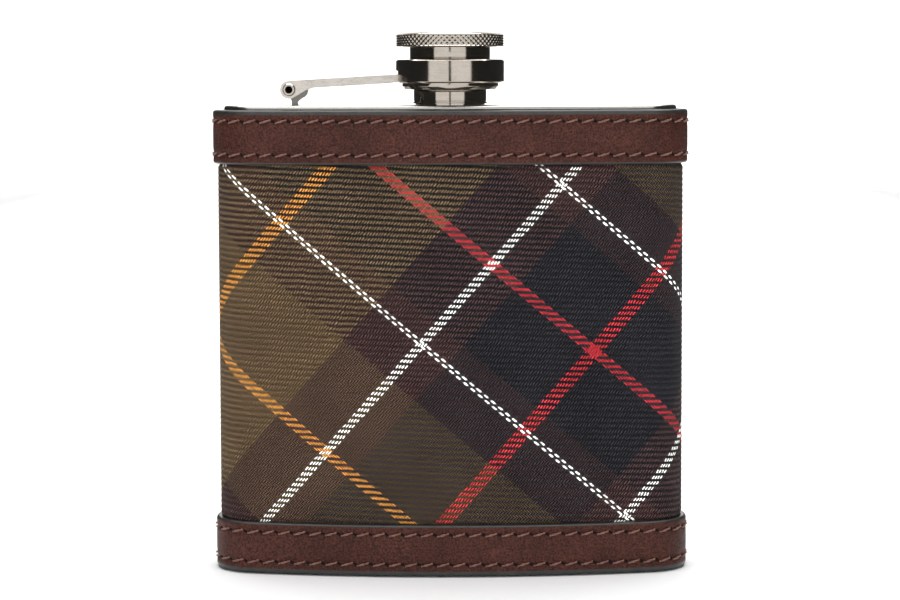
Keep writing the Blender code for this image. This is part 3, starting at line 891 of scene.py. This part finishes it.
def make_stitches(name, z, node):
    """A row of slanted stitches of two-ply thread, each one sinking into its holes."""
    loop = stations(BAND_SPACING)
    face_x, face_y = around(loop, 0.0)
    places, pitch = stitch_places()
    along, sides = 14, 12
    half = pitch / 2 - STITCH_GAP
    points, faces = [], []
    turn = 2 * math.pi * np.arange(sides) / sides
    for place in places:
        base = len(points)
        for step in range(along + 1):
            t = 2 * step / along - 1
            u = place + half * t
            lift = STITCH_RISE * (1 - t**4) - STITCH_DIVE * t**8 - STITCH_SUNK
            px, py = np.interp(u, loop[:, 6], face_x), np.interp(u, loop[:, 6], face_y)
            nx = np.interp(u, loop[:, 6], loop[:, 3] * loop[:, 4])
            ny = np.interp(u, loop[:, 6], loop[:, 3] * loop[:, 5])
            long = math.hypot(nx, ny)
            out = np.array([nx / long, ny / long, 0])
            spine = np.array([px, py, z + STITCH_SLANT * t]) + out * lift
            ply = 1 + PLY_SWELL * np.cos(2 * (turn - PLY_TWIST * t))
            thick = THREAD_RADIUS * (1 - 0.35 * t**6)
            for angle, swell in zip(turn, ply):
                up = np.array([0, 0, 1.0]) * math.cos(angle) + out * math.sin(angle)
                points.append(spine + up * thick * swell)
        for step in range(along):
            for side in range(sides):
                after = (side + 1) % sides
                low, high = base + step * sides, base + (step + 1) * sides
                faces.append((low + side, low + after, high + after, high + side))
        faces.append([base + k for k in reversed(range(sides))])
        faces.append([base + along * sides + k for k in range(sides)])
    row = mesh_from(name, np.array(points), faces, sharp=70)
    finish_piece(row, "flask", "brown_thread", THREAD, node)


make_fabric()
make_band("leather_top_band", TOP_BAND_TOP, TOP_BAND_FOOT, "top_band")
make_band("leather_bottom_band", BAND_FOOT, BOTTOM_BAND_TOP, "bottom_band")
make_stitches("top_band_upper_stitches", TOP_BAND_TOP - OUTER_ROW, "top_band_upper_thread")
make_stitches("top_band_lower_stitches", TOP_BAND_FOOT + LAP_ROW, "top_band_lower_thread")
make_stitches("bottom_band_upper_stitches", BOTTOM_BAND_TOP - LAP_ROW, "bottom_band_upper_thread")
make_stitches("bottom_band_lower_stitches", BAND_FOOT + OUTER_ROW, "bottom_band_lower_thread")


# Steel pieces ---------------------------------------------------------------------------------


def make_plate(name, profile, node, holes=()):
    """A plate across the flask from a profile of (inset, z), read from its foot to its top."""
    loop = stations(0.8)[:-1]
    grid = []
    for inset, z in profile:
        x, y = around(loop, inset)
        grid.append(np.column_stack([x, y, np.full(len(x), z)]))
    columns, count = len(loop), len(profile)
    faces = []
    for row in range(count - 1):
        for side in range(columns):
            after = (side + 1) % columns
            low, high = row * columns, (row + 1) * columns
            faces.append((low + side, low + after, high + after, high + side))
    faces.append(list(reversed(range(columns))))
    faces.append(list(range((count - 1) * columns, count * columns)))
    plate = mesh_from(name, np.vstack(grid), faces, sharp=45)
    for hole in holes:
        cutter = plate.modifiers.new("hole", "BOOLEAN")
        cutter.operation, cutter.solver, cutter.object = "DIFFERENCE", "EXACT", hole
    if holes:
        graph = bpy.context.evaluated_depsgraph_get()
        cut = bpy.data.meshes.new_from_object(plate.evaluated_get(graph))
        plate.modifiers.clear()
        plate.data = cut
        for hole in holes:
            bpy.data.objects.remove(hole, do_unlink=True)
    return finish_piece(plate, "flask", "steel_body", PLATE, node)


# The neck's and the cap's radii and heights above the plate, in mm
NECK = (0.0, NECK_Y, PLATE_TOP)
NECK_CORE, CAP_SLEEVE_BORE = 6.4, 7.55
THREAD_PITCH, THREAD_DEPTH = 1.0, 0.35


def thread_ridge(z, angle, start, end, fade, lead=0.0):
    """How far a screw thread stands out at a height, fading in and out at its ends."""
    share = max(0.0, min(1.0, (z - start) / fade, (end - z) / fade))
    wave = 0.5 + 0.5 * np.cos(2 * math.pi * (z / THREAD_PITCH - lead - angle / (2 * math.pi)))
    return THREAD_DEPTH * share * wave**1.4


def neck_thread(z, angle):
    return NECK_CORE + thread_ridge(z, angle, 4.6, 7.9, 0.5)


def make_neck():
    """The pouring tube, with a bead at its foot and a rolled thread on its upper half."""
    rows = 34
    start, end = 4.5, 7.95
    threads = []
    for k in range(rows + 1):
        z = start + (end - start) * k / rows
        threads.append((lambda angle, z=z: neck_thread(z, angle), z))
    profile = [
        (6.9, -2.0),
        (6.9, 0.3),
        (7.35, 0.3),
        (7.38, 0.34),
        (7.38, 0.5),
        (7.32, 0.6),
        (7.17, 0.62),
        (7.17, 0.8),
        (7.25, 0.88),
        (7.25, 3.75),
        (7.18, 3.9),
        (6.5, 4.25),
        *threads,
        (6.3, 8.1),
        (6.15, 8.2),
        (5.85, 8.2),
        (5.7, 8.05),
        (5.7, -1.85),
        (5.85, -2.0),
    ]
    neck = turned("pouring_neck", profile, 128, NECK)
    finish_piece(neck, "flask", "polished_steel", POLISHED, "neck")


CAP_RADIUS = 10.75
KNURL_TEETH = 66
KNURL_DIAMONDS = 2.4
KNURL_FLAT, KNURL_DEPTH = 0.05, 0.24
# Beyond this radius the disc has the brighter knurled finish
DISC_FACE = 10.2


def knurl(angle, depth, rise):
    """A diamond knurl: two crossing sets of helical ridges, cut down to pyramids."""
    turn = KNURL_TEETH * angle / (2 * math.pi)
    one = np.abs((turn + rise) % 1.0 - 0.5) * 2
    two = np.abs((turn - rise) % 1.0 - 0.5) * 2
    return CAP_RADIUS - depth * np.maximum(one, two)


def cap_thread(z, angle):
    return CAP_SLEEVE_BORE - thread_ridge(z, angle, 5.2, 8.0, 0.4, lead=0.5)


def knurled_side(foot, top):
    """The disc's side from foot to top, with the knurl shallow at both edges."""
    rows, chamfer = 20, 0.22
    side = []
    for k in range(rows + 1):
        z = foot + chamfer + (top - foot - 2 * chamfer) * k / rows
        rise = KNURL_DIAMONDS * k / rows
        depth = KNURL_DEPTH * min(1.0, k / 2, (rows - k) / 2) + KNURL_FLAT
        side.append((lambda angle, rise=rise, depth=depth: knurl(angle, depth, rise), z))
    return side


def make_cap():
    """Knurled disc, low dome and threaded sleeve, turned from one piece."""
    foot, top, dome = 11.4, 14.2, 15.5
    thread_foot, thread_tall, thread_rows = 5.1, 3.0, 28
    inner = []
    for k in range(thread_rows, -1, -1):
        z = thread_foot + thread_tall * k / thread_rows
        inner.append((lambda angle, z=z: cap_thread(z, angle), z))
    rim, tip, lid_rows = 10.15, 0.02, 12
    step, lid = top + 0.1, []
    for k in range(lid_rows + 1):
        t = k / lid_rows
        height = step + (dome - step) * math.sin(math.pi / 2 * t) ** 1.15
        lid.append((rim - (rim - tip) * t, height))
    profile = [
        (tip, 9.8),
        (7.4, 9.8),
        (CAP_SLEEVE_BORE, 9.65),
        *inner,
        (CAP_SLEEVE_BORE, 4.55),
        (7.65, 4.4),
        (7.9, 4.4),
        (8.0, 4.5),
        (8.0, foot),
        (10.1, foot),
        (10.45, foot + 0.08),
        *knurled_side(foot, top),
        (10.45, top),
        *lid,
    ]
    cap = turned("knurled_cap", profile, KNURL_TEETH * 6, NECK, closed=False, sharp=50)
    for polygon in cap.data.polygons:
        x, y, z = polygon.center / MM
        if math.hypot(x - NECK[0], y - NECK[1]) > DISC_FACE and z > NECK[2] + foot:
            polygon.material_index = 1
    finish_piece(cap, "cap", "polished_steel", [POLISHED, KNURLED], "cap")


def make_top_plate():
    """The plate at the top, with a rolled rim, slightly dished, and holed for the neck."""
    radius = 0.7
    rim = []
    for angle in (math.radians(degrees) for degrees in (90, 70, 50, 30, 12, 0)):
        inset = PLATE_RIM + radius * (1 - math.sin(angle))
        rim.append((inset, PLATE_TOP - radius * (1 - math.cos(angle))))
    profile = [
        (PLATE_RIM + 0.1, PLATE_TOP - 0.8),
        *rim,
        (PLATE_RIM + 1.1, PLATE_TOP),
        (PLATE_RIM + 1.35, PLATE_TOP - 0.08),
        (PLATE_RIM + 1.6, PLATE_TOP - 0.1),
    ]
    hole = turned("neck_hole", [(7.2, -3.0), (7.2, 3.0)], 96, NECK, closed=False)
    make_plate("lid_plate", profile, "top_plate", [hole])


def make_base_plate():
    """The plate that the flask stands on."""
    low, high = [corner.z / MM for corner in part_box("base_plate")]
    profile = [
        (PLATE_RIM + 0.5, low),
        (PLATE_RIM + 0.12, low + 0.12),
        (PLATE_RIM, low + 0.35),
        (PLATE_RIM, high - 0.1),
        (PLATE_RIM + 0.1, high),
    ]
    make_plate("foot_plate", profile, "base_plate")


BORE_DEPTH = 0.6


def make_rivet():
    """The hollow rivet, with its bore closed by a disc BORE_DEPTH either side of its middle, dark
    with painted shade.
    """
    rivet = eased_copy("hinge_rivet", "arm_rivet", 0.0)
    low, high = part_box("hinge_rivet")
    middle = (low + high) / 2 / MM
    mesh = rivet.data
    places = [vertex.co / MM for vertex in mesh.vertices]
    reach = min(math.hypot(place.x - middle.x, place.z - middle.z) for place in places) + 0.05
    builder = bmesh.new()
    builder.from_mesh(mesh)
    for depth in (-BORE_DEPTH, BORE_DEPTH):
        turn = Matrix.Rotation(math.copysign(math.pi / 2, depth), 4, "X")
        spot = Matrix.Translation(Vector((middle.x, middle.y + depth, middle.z)) * MM)
        bmesh.ops.create_circle(
            builder, cap_ends=True, segments=20, radius=reach * MM, matrix=spot @ turn
        )
    builder.to_mesh(mesh)
    builder.free()
    finish_piece(rivet, "arm", "polished_steel", [POLISHED, HOLE_SHADE], "hinge_rivet")
    # The bore's discs get the dark hole material: painted shade
    for polygon in mesh.polygons:
        x, y, z = polygon.center / MM
        inside = math.hypot(x - middle.x, z - middle.z) < reach
        if inside and abs(y - middle.y) < 1.0:
            polygon.material_index = 1


make_top_plate()
make_base_plate()
make_neck()
make_cap()
make_rivet()

for node, name, body, slot, material, bevel in (
    ("collar", "cap_collar", "collar", "polished_steel", POLISHED, 0.1),
    ("retaining_ring", "cap_retaining_ring", "cap", "polished_steel", POLISHED, 0.0),
    ("arm", "cap_arm", "arm", "satin_steel", SATIN, 0.2),
    # The bracket's darkened steel is a painted dark reflection
    ("hinge_bracket", "arm_bracket", "flask", "polished_steel", BRACKET_SHADE_STEEL, 0.08),
    ("collar_pin", "arm_pin", "arm", "polished_steel", POLISHED, 0.0),
):
    finish_piece(eased_copy(node, name, bevel), body, slot, material, node)

# These keep their CAD shapes
for node, material in (("body_shell", BODY), ("sleeve_lining", BOARD), ("cap_seal", SEAL)):
    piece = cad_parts[node]
    if not piece.material_slots:
        piece.data.materials.append(material)
    for slot in piece.material_slots:
        slot.material = material
